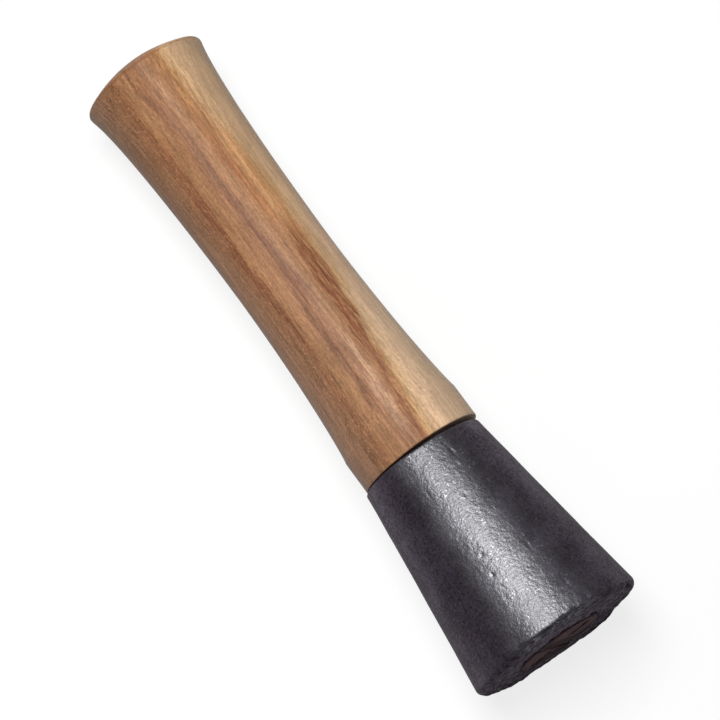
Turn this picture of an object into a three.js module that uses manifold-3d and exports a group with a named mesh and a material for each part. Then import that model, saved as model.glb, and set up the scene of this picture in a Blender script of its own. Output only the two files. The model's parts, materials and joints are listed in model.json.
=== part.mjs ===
// Dummy mallet: a heavy cast-iron head, a plain tapered frustum, wedged on the end of a turned
// hardwood handle. The handle's tenon runs right through the head's eye and is spread there by
// a wooden wedge and two steel cross wedges.
//
// Millimetres, +Z up. The mallet lies on the plane z = 0 as it was put down, with its length
// along X, the head towards +X and the butt towards -X. It touches the plane with the head's
// widest circle and with the butt's, so its axis climbs a little towards the head.
//
// Every piece is drawn along the mallet's own axis first: local Y runs from the head's face,
// where it is 0, up to the butt. Two groups then lay the mallet down.

import * as THREE from "three";
import { mergeVertices } from "three/addons/utils/BufferGeometryUtils.js";
import Module from "manifold-3d";

const wasm = await Module();
wasm.setup();

// Cast-iron head. Its diameters are those of the sharp corners, before the edges are rounded.
const FACE_DIAMETER = 62.6;
const NECK_DIAMETER = 43.5;
const HEAD_HEIGHT = 74;
const FACE_EDGE_RADIUS = 2.4;
const NECK_EDGE_RADIUS = 0.8;
const NECK_OUT_OF_SQUARE = 0.6; // how far the cast top dips on one side and stands up on the other
const EYE_FACE_DIAMETER = 30.4;
const EYE_NECK_DIAMETER = 26.6;
const EYE_EDGE_RADIUS = 0.6;

// Turned handle
const SHOULDER_GAP = 0.9; // from the middle of the head's top to the handle's shoulder
const SHOULDER_EDGE_RADIUS = 0.5;
const BAND_DIAMETER = 43.2; // the straight band above the shoulder
const BAND_LENGTH = 12;
const BAND_EDGE_RADIUS = 3;
const BELOW_BAND_SLOPE = 0.25; // how fast the radius falls just past the band's soft corner
const BELOW_BAND_REACH = 3.5;
const WAIST_DIAMETER = 36;
const WAIST_FROM_SHOULDER = 77.5;
const WAIST_REACH = 34; // how long the curve stays flat on the band's side of the waist
const UPPER_WAIST_REACH = 15; // and on the butt's side
const BUTT_DIAMETER = 45.3;
const BUTT_FLARE_SLOPE = 0.37;
const BUTT_FLARE_REACH = 10.5;
const GRIP_LENGTH = 155.7; // from the shoulder to the butt's corner
const BUTT_EDGE_RADIUS = 1.4;
const BUTT_DOME = 6; // how far the middle of the butt's end stands out past its corner

// Tenon and its wedges
const FIT_CLEARANCE = 0.3; // between any two pieces that touch
const TENON_PROUD = 0.8; // how far the tenon stands out of the head's face
const TENON_EDGE_RADIUS = 0.5;
const WEDGE_LENGTH = 42;
const WEDGE_HEAD_THICKNESS = 5;
const WEDGE_TIP_THICKNESS = 1.2;
const WEDGE_SET_BACK = 0.25; // how far the wedges' ends lie below the tenon's end
const WEDGE_TURN = 62; // degrees from the mallet's own X axis, about its length
const SAW_CUT_WIDTH = 1.4;
const SAW_CUT_PAST_WEDGE = 7;
const STEEL_WEDGE_LENGTH = 20;
const STEEL_WEDGE_WIDTH = 7.5;
const STEEL_WEDGE_HEAD_THICKNESS = 2.8;
const STEEL_WEDGE_TIP_THICKNESS = 0.8;
const STEEL_WEDGE_OFF_CENTRE = 8.4;
const CUT_OVERRUN = 2; // how far the cuts for the wedges run out past the tenon's end

// Fineness of the faceted surfaces
const SIDES = 64;
const GRIP_STEPS = 9;
const DOME_STEPS = 6;
const ARC_STEPS = 4;

const shoulderAt = HEAD_HEIGHT + SHOULDER_GAP;
const buttAt = shoulderAt + GRIP_LENGTH;

const MATERIALS = {
  castIron: new THREE.MeshStandardMaterial({ color: 0x38343a, roughness: 0.42, metalness: 0.35 }),
  hardwood: new THREE.MeshStandardMaterial({ color: 0xb07f57, roughness: 0.5, metalness: 0 }),
  wedgeWood: new THREE.MeshStandardMaterial({ color: 0x7d5a3c, roughness: 0.65, metalness: 0 }),
  steel: new THREE.MeshStandardMaterial({ color: 0x6e6a66, roughness: 0.45, metalness: 0.9 }),
};

// The arc of a radius that rounds the corner between two straight lines, and its centre.
function roundedCorner(before, corner, after, radius) {
  const inward = new THREE.Vector2().subVectors(before, corner).normalize();
  const outward = new THREE.Vector2().subVectors(after, corner).normalize();
  const halfAngle = Math.acos(inward.dot(outward)) / 2;
  const centre = new THREE.Vector2()
    .addVectors(inward, outward)
    .normalize()
    .multiplyScalar(radius / Math.sin(halfAngle))
    .add(corner);
  const reach = radius / Math.tan(halfAngle);
  const start = inward.clone().multiplyScalar(reach).add(corner).sub(centre);
  const end = outward.clone().multiplyScalar(reach).add(corner).sub(centre);
  const sweep = Math.atan2(start.cross(end), start.dot(end));
  const points = [];
  for (let step = 0; step <= ARC_STEPS; step += 1) {
    const spoke = start.clone().rotateAround(new THREE.Vector2(), (sweep * step) / ARC_STEPS);
    points.push(spoke.add(centre));
  }
  return { points, centre };
}

// The tenon follows the tapered eye, which it clears all round.
function tenonRadiusAt(height) {
  const eyeDiameter = THREE.MathUtils.mapLinear(
    height, 0, HEAD_HEIGHT, EYE_FACE_DIAMETER, EYE_NECK_DIAMETER,
  );
  return eyeDiameter / 2 - FIT_CLEARANCE;
}

// A turned shape. It starts half a facet round, so that the mallet rests on flats, not corners.
function turned(outline) {
  return new THREE.LatheGeometry(outline, SIDES, Math.PI / SIDES, 2 * Math.PI);
}

function toSolid(geometry) {
  const plain = geometry.clone();
  plain.deleteAttribute("normal");
  plain.deleteAttribute("uv");
  const merged = mergeVertices(plain, 1e-4);
  const mesh = new wasm.Mesh({
    numProp: 3,
    vertProperties: new Float32Array(merged.attributes.position.array),
    triVerts: new Uint32Array(merged.index.array),
  });
  return new wasm.Manifold(mesh);
}

function toGeometry(solid) {
  const mesh = solid.getMesh();
  const geometry = new THREE.BufferGeometry();
  geometry.setAttribute("position", new THREE.BufferAttribute(mesh.vertProperties, mesh.numProp));
  geometry.setIndex(new THREE.BufferAttribute(mesh.triVerts, 1));
  const flat = geometry.toNonIndexed();
  flat.computeVertexNormals();
  return flat;
}

const headCorners = {
  face: new THREE.Vector2(FACE_DIAMETER / 2, 0),
  neck: new THREE.Vector2(NECK_DIAMETER / 2, HEAD_HEIGHT),
  eyeNeck: new THREE.Vector2(EYE_NECK_DIAMETER / 2, HEAD_HEIGHT),
  eyeFace: new THREE.Vector2(EYE_FACE_DIAMETER / 2, 0),
};

function faceEdge() {
  const { eyeFace, face, neck } = headCorners;
  return roundedCorner(eyeFace, face, neck, FACE_EDGE_RADIUS);
}

function headGeometry() {
  const { face, neck, eyeNeck, eyeFace } = headCorners;
  const outline = [
    ...faceEdge().points,
    ...roundedCorner(face, neck, eyeNeck, NECK_EDGE_RADIUS).points,
    ...roundedCorner(neck, eyeNeck, eyeFace, EYE_EDGE_RADIUS).points,
    ...roundedCorner(eyeNeck, eyeFace, face, EYE_EDGE_RADIUS).points,
  ];
  outline.push(outline[0].clone());
  const geometry = turned(outline);
  tipNeck(geometry);
  return geometry;
}

// The cast top is not quite square to the eye: it stands up towards -X and dips towards +X.
function tipNeck(geometry) {
  const position = geometry.attributes.position;
  const neckStartsAt = HEAD_HEIGHT - 2 * Math.max(NECK_EDGE_RADIUS, EYE_EDGE_RADIUS);
  for (let i = 0; i < position.count; i += 1) {
    const height = position.getY(i);
    if (height > neckStartsAt) {
      const across = position.getX(i) / (NECK_DIAMETER / 2);
      position.setY(i, height - NECK_OUT_OF_SQUARE * across);
    }
  }
  geometry.computeVertexNormals();
}

const shoulder = new THREE.Vector2(BAND_DIAMETER / 2, shoulderAt);
const bandEnd = new THREE.Vector2(BAND_DIAMETER / 2, shoulderAt + BAND_LENGTH);
const waist = new THREE.Vector2(WAIST_DIAMETER / 2, shoulderAt + WAIST_FROM_SHOULDER);
const buttCorner = new THREE.Vector2(BUTT_DIAMETER / 2, buttAt);

// Where the pull of the butt's flare on the grip's curve begins.
const flareFoot = new THREE.Vector2(
  buttCorner.x - BUTT_FLARE_SLOPE * BUTT_FLARE_REACH, buttCorner.y - BUTT_FLARE_REACH,
);

function lowerGrip() {
  const belowBand = new THREE.Vector2(
    bandEnd.x - BELOW_BAND_SLOPE * BELOW_BAND_REACH, bandEnd.y + BELOW_BAND_REACH,
  );
  const beforeWaist = new THREE.Vector2(waist.x, waist.y - WAIST_REACH);
  return new THREE.CubicBezierCurve(bandEnd, belowBand, beforeWaist, waist).getPoints(GRIP_STEPS);
}

function upperGrip() {
  const pastWaist = new THREE.Vector2(waist.x, waist.y + UPPER_WAIST_REACH);
  return new THREE.CubicBezierCurve(waist, pastWaist, flareFoot, buttCorner).getPoints(GRIP_STEPS);
}

// The dome of the butt's end, from its corner in to the axis.
function domePoints() {
  const points = [];
  for (let step = 1; step <= DOME_STEPS; step += 1) {
    const across = 1 - step / DOME_STEPS;
    points.push(new THREE.Vector2(buttCorner.x * across, buttAt + BUTT_DOME * (1 - across ** 2)));
  }
  return points;
}

function buttEdge() {
  return roundedCorner(flareFoot, buttCorner, domePoints()[0], BUTT_EDGE_RADIUS);
}

function handleOutline() {
  const tenonMiddle = new THREE.Vector2(0, -TENON_PROUD);
  const tenonEnd = new THREE.Vector2(tenonRadiusAt(-TENON_PROUD), -TENON_PROUD);
  const tenonRoot = new THREE.Vector2(tenonRadiusAt(shoulderAt), shoulderAt);
  const lower = lowerGrip();
  const band = roundedCorner(shoulder, bandEnd, lower[1], BAND_EDGE_RADIUS).points;
  const butt = buttEdge().points;
  const bandTop = band[ARC_STEPS].y;
  const domeRim = butt[ARC_STEPS].x;
  return [
    tenonMiddle,
    ...roundedCorner(tenonMiddle, tenonEnd, tenonRoot, TENON_EDGE_RADIUS).points,
    tenonRoot,
    ...roundedCorner(tenonRoot, shoulder, bandEnd, SHOULDER_EDGE_RADIUS).points,
    ...band,
    ...lower.filter((point) => point.y > bandTop),
    ...upperGrip().filter((point) => point.y > waist.y && point.y < butt[0].y),
    ...butt,
    ...domePoints().filter((point) => point.x < domeRim),
  ];
}

const woodWedge = {
  length: WEDGE_LENGTH,
  width: 2 * EYE_FACE_DIAMETER,
  headThickness: WEDGE_HEAD_THICKNESS,
  tipThickness: WEDGE_TIP_THICKNESS,
};
const steelWedge = {
  length: STEEL_WEDGE_LENGTH,
  width: STEEL_WEDGE_WIDTH,
  headThickness: STEEL_WEDGE_HEAD_THICKNESS,
  tipThickness: STEEL_WEDGE_TIP_THICKNESS,
};
const wedgeStart = -TENON_PROUD + WEDGE_SET_BACK;
const wedgeTurn = THREE.MathUtils.degToRad(WEDGE_TURN);

// A wedge points up the axis from the tenon's end, with its width along local X. As a cut for
// it, it is grown all round by the clearance, and runs past the tenon's end on the same taper.
function wedgeSlip({ length, width, headThickness, tipThickness }, isCut) {
  const grown = isCut ? FIT_CLEARANCE : 0;
  const past = isCut ? CUT_OVERRUN : 0;
  const taper = (headThickness - tipThickness) / length;
  const halfStart = (headThickness + taper * past) / 2 + grown;
  const halfTip = (tipThickness - taper * grown) / 2 + grown;
  const tipAt = wedgeStart + length + grown;
  const slip = new THREE.Shape([
    new THREE.Vector2(-halfStart, wedgeStart - past),
    new THREE.Vector2(halfStart, wedgeStart - past),
    new THREE.Vector2(halfTip, tipAt),
    new THREE.Vector2(-halfTip, tipAt),
  ]);
  const depth = width + 2 * grown;
  const geometry = new THREE.ExtrudeGeometry(slip, { depth, bevelEnabled: false });
  geometry.translate(0, 0, -depth / 2);
  geometry.rotateY(Math.PI / 2);
  return geometry;
}

// The wooden wedge crosses the whole tenon, and its edges are trimmed flush with it.
function woodWedgeGeometry() {
  const tenon = turned([
    new THREE.Vector2(0, wedgeStart),
    new THREE.Vector2(tenonRadiusAt(wedgeStart), wedgeStart),
    new THREE.Vector2(tenonRadiusAt(shoulderAt), shoulderAt),
    new THREE.Vector2(0, shoulderAt),
  ]);
  const slip = wedgeSlip(woodWedge, false).rotateY(wedgeTurn);
  return toGeometry(toSolid(slip).intersect(toSolid(tenon)));
}

// The tenon was sawn down before it was wedged, and the saw cut runs on past the wedge's tip.
function sawCut() {
  const depth = WEDGE_LENGTH + SAW_CUT_PAST_WEDGE;
  const cut = new THREE.BoxGeometry(woodWedge.width, depth, SAW_CUT_WIDTH);
  cut.translate(0, wedgeStart + depth / 2, 0);
  return cut.rotateY(wedgeTurn);
}

// A steel wedge stands across the wooden one, on one side of it.
function steelWedgeSlip(side, isCut) {
  const slip = wedgeSlip(steelWedge, isCut);
  slip.translate(side * STEEL_WEDGE_OFF_CENTRE, 0, 0);
  return slip.rotateY(wedgeTurn + Math.PI / 2);
}

function handleGeometry() {
  const cuts = [
    wedgeSlip(woodWedge, true).rotateY(wedgeTurn),
    sawCut(),
    steelWedgeSlip(1, true),
    steelWedgeSlip(-1, true),
  ];
  const blank = toSolid(turned(handleOutline()));
  return toGeometry(cuts.reduce((solid, cut) => solid.subtract(toSolid(cut)), blank));
}

function piece(name, geometry, material) {
  const mesh = new THREE.Mesh(geometry, material);
  mesh.name = name;
  return mesh;
}

const alongAxis = new THREE.Group();
alongAxis.rotation.z = Math.PI / 2;
alongAxis.add(
  piece("head", headGeometry(), MATERIALS.castIron),
  piece("handle", handleGeometry(), MATERIALS.hardwood),
  piece("wood_wedge", woodWedgeGeometry(), MATERIALS.wedgeWood),
  piece("steel_wedge_1", steelWedgeSlip(1, false), MATERIALS.steel),
  piece("steel_wedge_2", steelWedgeSlip(-1, false), MATERIALS.steel),
);

// The mallet rests on the widest circle of its head and on that of its butt.
const headRest = faceEdge().centre;
const buttRest = buttEdge().centre;
const riseOverRest = headRest.x + FACE_EDGE_RADIUS - (buttRest.x + BUTT_EDGE_RADIUS);

const lying = new THREE.Group();
lying.rotation.y = -Math.atan2(riseOverRest, buttRest.y - headRest.y);
lying.add(alongAxis);

const mallet = new THREE.Group();
mallet.add(lying);
mallet.updateMatrixWorld(true);
const extent = new THREE.Box3().setFromObject(mallet, true);
lying.position.set(
  -(extent.min.x + extent.max.x) / 2,
  -(extent.min.y + extent.max.y) / 2,
  -extent.min.z,
);

export default mallet;
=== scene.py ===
"""The looks of a dummy mallet: a painted cast-iron head wedged on a turned hardwood handle.

Pieces are drawn in millimetres along the mallet's own axis: x points to its side, y up, and z
towards the head's face. "height" is the distance from the face's plane back towards the butt,
so it is minus z. lay() puts a piece where the frame has the mallet.
"""

import itertools
import json
import math

import bmesh
import bpy
import numpy as np
from mathutils import Matrix, Vector


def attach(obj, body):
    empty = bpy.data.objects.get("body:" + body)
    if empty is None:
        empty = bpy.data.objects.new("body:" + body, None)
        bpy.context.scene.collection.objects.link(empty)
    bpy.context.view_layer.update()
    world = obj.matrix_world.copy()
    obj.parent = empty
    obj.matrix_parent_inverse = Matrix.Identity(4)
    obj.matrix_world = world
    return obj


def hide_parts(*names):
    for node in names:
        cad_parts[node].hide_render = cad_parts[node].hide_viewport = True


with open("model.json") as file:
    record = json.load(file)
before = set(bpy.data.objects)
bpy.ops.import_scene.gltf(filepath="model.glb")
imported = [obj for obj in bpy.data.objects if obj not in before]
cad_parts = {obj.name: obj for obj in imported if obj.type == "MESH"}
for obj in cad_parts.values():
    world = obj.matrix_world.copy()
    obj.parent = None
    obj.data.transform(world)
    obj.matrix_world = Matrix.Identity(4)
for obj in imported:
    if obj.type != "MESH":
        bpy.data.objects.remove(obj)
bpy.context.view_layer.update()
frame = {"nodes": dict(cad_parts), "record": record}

MM = 0.001

# Cast-iron head
FACE_DIAMETER = 62.6
NECK_DIAMETER = 43.5
HEAD_HEIGHT = 74.0
FACE_EDGE_RADIUS = 2.4
NECK_EDGE_RADIUS = 0.8
NECK_OUT_OF_SQUARE = 0.6
NECK_SLANT_REACH = 6.0
EYE_FACE_DIAMETER = 30.4
EYE_NECK_DIAMETER = 26.6
EYE_EDGE_RADIUS = 0.6
SIDE_HOLLOW = 0.14

# Turned handle
SHOULDER_GAP = 0.9
SHOULDER_EDGE_RADIUS = 0.5
BAND_DIAMETER = 43.2
BAND_LENGTH = 12.0
BAND_EDGE_RADIUS = 3.0
BELOW_BAND_SLOPE = 0.25
BELOW_BAND_REACH = 3.5
WAIST_DIAMETER = 36.0
WAIST_FROM_SHOULDER = 77.5
WAIST_REACH = 34.0
UPPER_WAIST_REACH = 15.0
BUTT_DIAMETER = 45.3
BUTT_FLARE_SLOPE = 0.37
BUTT_FLARE_REACH = 10.5
GRIP_LENGTH = 155.7
BUTT_EDGE_RADIUS = 1.4
BUTT_DOME = 6.0
BUTT_OUT_OF_SQUARE = 0.1

# Tenon and wedges
FIT_CLEARANCE = 0.3
TENON_PROUD = 0.8
TENON_EDGE_RADIUS = 0.5
WEDGE_LENGTH = 42.0
WEDGE_HEAD_THICKNESS = 5.0
WEDGE_TIP_THICKNESS = 1.2
WEDGE_SET_BACK = 0.25
WEDGE_TURN = math.radians(-62)
SAW_CUT_WIDTH = 1.4
SAW_CUT_PAST_WEDGE = 7.0
STEEL_WEDGE_LENGTH = 20.0
STEEL_WEDGE_WIDTH = 7.5
STEEL_WEDGE_HEAD_THICKNESS = 2.8
STEEL_WEDGE_TIP_THICKNESS = 0.8
STEEL_WEDGE_OFF_CENTRE = 8.4
CUT_OVERRUN = 2.0
WOOD_WEDGE = (WEDGE_LENGTH, WEDGE_HEAD_THICKNESS, WEDGE_TIP_THICKNESS)
STEEL_WEDGE = (STEEL_WEDGE_LENGTH, STEEL_WEDGE_HEAD_THICKNESS, STEEL_WEDGE_TIP_THICKNESS)

# How far the real head and grip stand off one straight line, sideways
HEAD_LEAN_AT_FACE = 0.33
HEAD_LEAN_AT_NECK = -0.36
GRIP_LEAN_AT_SHOULDER = 0.33
GRIP_LEAN_AT_BUTT = -0.08

SHOULDER = HEAD_HEIGHT + SHOULDER_GAP
WEDGE_START = -TENON_PROUD + WEDGE_SET_BACK
CROSS_TURN = WEDGE_TURN - math.pi / 2
BUTT = SHOULDER + GRIP_LENGTH

# Camera, in metres from the middle of the head's face; its lens and sensor are in mm
CAMERA_OFF_AXIS = 1.55
CAMERA_PAST_FACE = 0.2
CAMERA_SIDEWAYS = math.radians(-6.63)
AIM_ALONG = 0.1121
AIM_ACROSS = 0.00226
AXIS_IN_PICTURE = math.radians(53.69)
LENS = 244.3
SENSOR = 36.0
CAMERA_REACH = 100

# Floor, light and world, in metres
FLOOR_SIDES = 96
FLOOR_RADIUS = 9.0
FLOOR_BEND_RADIUS = 0.6
FLOOR_WALL = 0.3
KEY_PLACE = (-0.25, -0.055, 1.14)
KEY_TARGET = (0.08, 0, 0.03)
KEY_SIZE = (0.60, 0.48)
KEY_RADIANCE = 15.0
KEY_TINT = (0.98, 1.0, 0.96)
WORLD_COLOUR = (0.15, 0.14, 0.165, 1)


def mallet_matrix():
    """Where the frame has the mallet: the middle of its face, its side, its up and its axis."""
    mount = next(m for m in frame["record"]["mounts"] if m["name"] == "head_face")
    axis = Vector(mount["axis"]).normalized()
    side = Vector((0, 1, 0))
    up = side.cross(axis) * -1
    corners = np.array([v.co for v in frame["nodes"]["head"].data.vertices])

    def middle(direction):
        along = corners @ np.array(direction)
        return (along.min() + along.max()) / 2

    face = (corners @ np.array(axis)).max()
    centre = axis * face + up * middle(up) + side * middle(side)
    matrix = Matrix((side, up, axis)).transposed().to_4x4()
    matrix.translation = centre
    return matrix


MALLET = mallet_matrix()


# Small tools for shapes

def smooth_step(low, high, value):
    """From 0 at low to 1 at high, level at both ends."""
    share = np.clip((value - low) / (high - low), 0, 1)
    return share * share * (3 - 2 * share)


# What brings the noise below to about -1 to 1
NOISE_GAIN = 1.6


def make_noise(seed):
    """A noise function of points, from about -1 to 1, that changes over a distance of 1."""
    rng = np.random.default_rng(seed)
    order = rng.permutation(256)
    slopes = rng.normal(size=(256, 3))
    slopes /= np.linalg.norm(slopes, axis=1)[:, None]

    def noise(points):
        cell = np.floor(points).astype(np.int64)
        part = points - cell
        fade = part**3 * (part * (part * 6 - 15) + 10)
        total = np.zeros(len(points))
        for corner in itertools.product((0, 1), repeat=3):
            x, y, z = (cell + corner).T
            index = order[(order[(order[x & 255] + y) & 255] + z) & 255]
            rise = ((part - corner) * slopes[index]).sum(1)
            total += rise * np.where(corner, fade, 1 - fade).prod(1)
        return total * NOISE_GAIN

    return noise


def waves(noise, points, depth, size, offset=0):
    """A noise as a relief: its depth and the size of its waves in mm."""
    return depth * noise(points / size + offset)


def rounded_corner(before, corner, after, radius, steps):
    """The arc that rounds the corner between two straight lines."""
    before, corner, after = (np.array(p, float) for p in (before, corner, after))
    inward = (before - corner) / np.linalg.norm(before - corner)
    outward = (after - corner) / np.linalg.norm(after - corner)
    half = math.acos(inward @ outward) / 2
    bisector = (inward + outward) / np.linalg.norm(inward + outward)
    centre = corner + bisector * radius / math.sin(half)
    start = corner + inward * radius / math.tan(half) - centre
    end = corner + outward * radius / math.tan(half) - centre
    turn = np.linspace(0, 1, steps + 1)[:, None]
    sweep = math.pi - 2 * half
    arc = np.sin((1 - turn) * sweep) * start + np.sin(turn * sweep) * end
    return centre + arc / math.sin(sweep)


def line(start, end, step):
    """Points from start to end, without the ends, no further apart than step."""
    start, end = np.array(start, float), np.array(end, float)
    count = max(1, math.ceil(np.linalg.norm(end - start) / step))
    share = np.linspace(0, 1, count + 1)[1:-1, None]
    return start + (end - start) * share


def bezier(a, b, c, d, steps):
    """A smooth curve from a to d that leaves towards b and arrives from c."""
    share = np.linspace(0, 1, steps + 1)[:, None]
    a, b, c, d = (np.array(p, float) for p in (a, b, c, d))
    rest = 1 - share
    return a * rest**3 + 3 * b * rest**2 * share + 3 * c * rest * share**2 + d * share**3


def turned_points(outline, sides):
    """Each outline point (radius, height) carried round the axis: points, outward normals."""
    angle = np.arange(sides) * 2 * math.pi / sides
    ahead, behind = np.roll(outline, -1, 0), np.roll(outline, 1, 0)
    along = ahead - behind
    along /= np.linalg.norm(along, axis=1)[:, None]
    out = np.stack([along[:, 1], -along[:, 0]], 1)
    round_x, round_y = np.cos(angle), np.sin(angle)

    def carried(pair):
        radius, height = pair[:, 0, None], pair[:, 1, None]
        grid = np.stack([radius * round_x, radius * round_y, -height + 0 * round_x], 2)
        return grid.reshape(-1, 3)

    return carried(outline), carried(out)


def ring_faces(rings, sides, closed):
    """Quads between neighbouring rings of points; closed joins the last ring to the first."""
    faces = []
    for i in range(rings if closed else rings - 1):
        here, there = i * sides, (i + 1) % rings * sides
        for j in range(sides):
            k = (j + 1) % sides
            faces.append((here + j, there + j, there + k, here + k))
    return faces


def linked(name, data):
    """A new object in the scene."""
    thing = bpy.data.objects.new(name, data)
    bpy.context.scene.collection.objects.link(thing)
    return thing


def make_object(name, points, faces, material, smooth_angle=40):
    """A mesh object from points in mm; its edges are sharp above smooth_angle, in degrees."""
    mesh = bpy.data.meshes.new(name)
    mesh.from_pydata((np.asarray(points) * MM).tolist(), [], faces)
    mesh.materials.append(material)
    mesh.polygons.foreach_set("use_smooth", [True] * len(mesh.polygons))
    mesh.set_sharp_from_angle(angle=math.radians(smooth_angle))
    mesh.update()
    return linked(name, mesh)


def lay(piece, node):
    """Lays a piece where the mallet is, in the place of a node."""
    piece.matrix_world = MALLET
    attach(piece, "root")
    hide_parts(node)


def lean(points):
    """Moves points sideways as the head and the grip really stand."""
    height = -points[:, 2]
    in_head = np.interp(height, [0, HEAD_HEIGHT], [HEAD_LEAN_AT_FACE, HEAD_LEAN_AT_NECK])
    in_grip = np.interp(height, [SHOULDER, BUTT], [GRIP_LEAN_AT_SHOULDER, GRIP_LEAN_AT_BUTT])
    share = smooth_step(HEAD_HEIGHT, SHOULDER, height)
    points[:, 0] += in_head + (in_grip - in_head) * share
    return points


# Small tools for materials

class Shader:
    """A node material, built by calls that each add one node."""

    def __init__(self, name):
        self.material = bpy.data.materials.new(name)
        self.material.use_nodes = True
        self.tree = self.material.node_tree
        self.tree.nodes.clear()

    def add(self, kind, inputs=None, output=0, **settings):
        """Adds a node, links or sets its inputs, and gives one of its outputs."""
        node = self.tree.nodes.new("ShaderNode" + kind)
        for key, value in settings.items():
            setattr(node, key, value)
        for key, value in (inputs or {}).items():
            if isinstance(value, bpy.types.NodeSocket):
                self.tree.links.new(value, node.inputs[key])
            else:
                node.inputs[key].default_value = value
        return node.outputs[output] if node.outputs else None

    def math(self, operation, a, b=0.0, c=0.0):
        return self.add("Math", {0: a, 1: b, 2: c}, operation=operation)

    def product(self, first, *others):
        for other in others:
            first = self.math("MULTIPLY", first, other)
        return first

    def scaled(self, vector, factor):
        return self.add("VectorMath", {0: vector, 3: factor}, operation="SCALE")

    def parted(self, place):
        """How far a point lies sideways and up from the axis, and its height, all in mm."""
        outputs = self.add("SeparateXYZ", {0: place}).node.outputs
        return outputs[0], outputs[1], self.math("MULTIPLY", outputs[2], -1.0)

    def stretched(self, place, across, along):
        """Coordinates in which a grain is `across` mm wide and `along` mm long."""
        scale = (1 / across, 1 / across, 1 / along)
        return self.add("Mapping", {"Vector": place, "Scale": scale}, vector_type="POINT")

    def noise(self, place, size=1.0, detail=2.0, roughness=0.5, distortion=0.0):
        """A noise from about 0.3 to 0.7 that changes over `size` mm."""
        inputs = {"Vector": place, "Scale": 1 / size, "Detail": detail}
        inputs.update({"Roughness": roughness, "Distortion": distortion})
        return self.add("TexNoise", inputs)

    def ranged(self, value, low, high, to_low=0.0, to_high=1.0, smooth=True):
        """From to_low where a value is low to to_high where it is high, and level past both."""
        kind = "SMOOTHSTEP" if smooth else "LINEAR"
        inputs = {"Value": value, "From Min": low, "From Max": high}
        inputs.update({"To Min": to_low, "To Max": to_high})
        return self.add("MapRange", inputs, interpolation_type=kind)

    def mixed(self, share, a, b, blend="MIX"):
        """Colour a, with colour b over it by share."""
        return self.add(
            "Mix", {0: share, 6: a, 7: b}, output=2, data_type="RGBA", blend_type=blend,
        )

    def tinted(self, base, tint):
        return self.mixed(1.0, base, tint, "MULTIPLY")

    def ramp(self, value, stops):
        """A colour that runs through stops (at, colour) as the value goes from 0 to 1."""
        output = self.add("ValToRGB", {"Fac": value})
        ramp = output.node.color_ramp
        while len(ramp.elements) < len(stops):
            ramp.elements.new(1.0)
        for element, (position, rgba) in zip(ramp.elements, stops):
            element.position = position
            element.color = rgba
        return output

    def graded(self, value, points):
        """A colour that runs through points (at, colour); it stays level past both ends."""
        first, last = points[0][0], points[-1][0]
        share = self.ranged(value, first, last, smooth=False)
        return self.ramp(share, [((at - first) / (last - first), (*rgb, 1)) for at, rgb in points])

    def curve(self, value, points):
        """A smooth curve through points (at, amount); it stays level past both ends."""
        ats, amounts = zip(*points)
        low, high = min(amounts), max(amounts)
        span = max(high - low, 1e-6)
        share = self.ranged(value, ats[0], ats[-1], smooth=False)
        output = self.add("FloatCurve", {"Value": share})
        curve = output.node.mapping.curves[0]
        for at, amount in points[1:-1]:
            curve.points.new((at - ats[0]) / (ats[-1] - ats[0]), (amount - low) / span)
        curve.points[0].location = (0, (amounts[0] - low) / span)
        curve.points[-1].location = (1, (amounts[-1] - low) / span)
        output.node.mapping.update()
        return self.math("MULTIPLY_ADD", output, span, low)

    def bump(self, relief, distance):
        """The surface's normal, bent by a relief whose unit is `distance` metres high."""
        return self.add("Bump", {"Height": relief, "Distance": distance})

    def millimetres(self):
        """The piece's own coordinates, in millimetres."""
        return self.scaled(self.add("TexCoord", output=3), 1 / MM)

    def finish(self, **inputs):
        """Ends the material in a Principled shader with these inputs."""
        surface = self.add("BsdfPrincipled", {k.replace("_", " "): v for k, v in inputs.items()})
        self.add("OutputMaterial", {"Surface": surface})
        return self.material


def colour(red, green, blue):
    """A colour as a picture editor shows it, from 0 to 255, made linear."""
    def linear(value):
        value /= 255
        return value / 12.92 if value <= 0.04045 else ((value + 0.055) / 1.055) ** 2.4

    return (linear(red), linear(green), linear(blue), 1.0)


def varied(s, base, value, low, high, spread):
    """Makes a colour darker where a noise is low and lighter where it is high, by a share."""
    dark = tuple(1 - spread * f for f in (0.90, 1.0, 1.10)) + (1,)
    light = tuple(1 + spread * f for f in (1.0, 0.97, 0.92)) + (1,)
    return s.tinted(base, s.ramp(value, [(low, dark), (high, light)]))


# Materials

# The paint's colour by how far round from the top it is, in degrees, with light and shade
# painted in: a painted highlight on top, painted shade, dull and purplish, on the shoulders,
# and a painted reflection a little brighter again down the sides.
PAINTED_LIGHT_ROUND = [
    (-180, (0.070, 0.061, 0.078)),
    (-90, (0.094, 0.085, 0.104)),
    (-70, (0.098, 0.088, 0.110)),
    (-56, (0.063, 0.053, 0.070)),
    (-45, (0.056, 0.045, 0.063)),
    (-37, (0.065, 0.055, 0.074)),
    (-31, (0.091, 0.084, 0.100)),
    (-24, (0.140, 0.136, 0.155)),
    (-17, (0.150, 0.147, 0.164)),
    (-6, (0.100, 0.097, 0.107)),
    (1, (0.108, 0.106, 0.117)),
    (8, (0.160, 0.158, 0.174)),
    (18, (0.156, 0.150, 0.170)),
    (24, (0.120, 0.110, 0.131)),
    (30, (0.090, 0.081, 0.099)),
    (37, (0.075, 0.065, 0.084)),
    (45, (0.077, 0.067, 0.086)),
    (58, (0.106, 0.097, 0.118)),
    (90, (0.094, 0.085, 0.104)),
    (180, (0.070, 0.061, 0.078)),
]
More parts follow.
